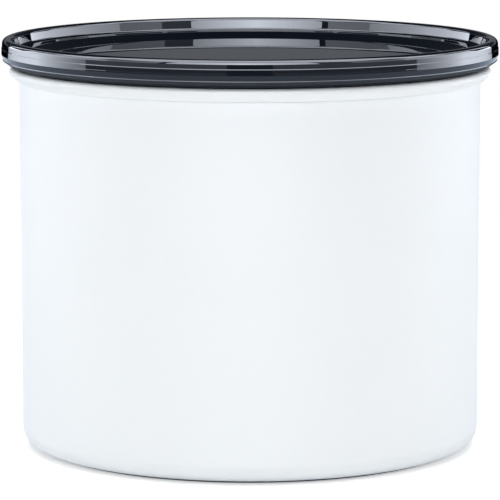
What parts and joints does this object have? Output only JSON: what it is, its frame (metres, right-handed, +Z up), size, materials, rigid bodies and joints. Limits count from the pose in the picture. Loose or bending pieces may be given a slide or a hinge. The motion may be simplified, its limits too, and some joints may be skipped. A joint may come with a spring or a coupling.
{
  "type": "storage canister",
  "caption": "Round white steel food canister with a smoked lift-off lid and a press-down inner lid whose folding handle opens an air valve.",
  "frame": {"origin": "middle of the base, on the surface that the canister stands on", "axes": "+Z up along the canister's axis, -Y towards the viewer and the folded handle, +X to the viewer's right"},
  "size_m": [0.127, 0.127, 0.105],
  "materials": {
    "white_coat": "matte white powder coat on steel",
    "base_rubber": "matte dark rubber",
    "smoked_plastic": "clear smoked plastic with a mirror polish",
    "black_plastic": "fine moulded texture",
    "silicone": "soft matte silicone",
    "steel": "bright drawn steel"
  },
  "bodies": {
    "canister": {"canister_shell": "white_coat", "base_pad": "base_rubber"},
    "top_lid": {"top_lid": "smoked_plastic"},
    "inner_lid": {"inner_lid_plate": "black_plastic", "wiper_gasket": "silicone", "inner_lid_cover": "black_plastic", "handle_pin_right": "steel", "handle_pin_left": "steel", "valve_spring": "steel"},
    "handle": {"bail_handle": "black_plastic"},
    "valve": {"valve_stem": "black_plastic", "valve_seal": "silicone", "valve_backing_disc": "steel", "stem_clip": "steel"}
  },
  "joints": [
    {"name": "top_lid_lift", "type": "slide", "parent": "canister", "child": "top_lid", "axis": [0, 0, 1], "range_m": [0, 0.06]},
    {"name": "inner_lid_press", "type": "slide", "parent": "canister", "child": "inner_lid", "axis": [0, 0, 1], "range_m": [-0.044, 0]},
    {"name": "handle_flip", "type": "hinge", "parent": "inner_lid", "child": "handle", "pos_m": [0, 0, 0.07], "axis": [-1, 0, 0], "range_deg": [0, 90]},
    {"name": "valve_press", "type": "slide", "parent": "inner_lid", "child": "valve", "axis": [0, 0, -1], "range_m": [0, 0.002], "deforming": ["valve_spring"]}
  ],
  "couplings": [
    {"joint": "valve_press", "follows": "handle_flip", "m_per_rad": 0.001273}
  ]
}
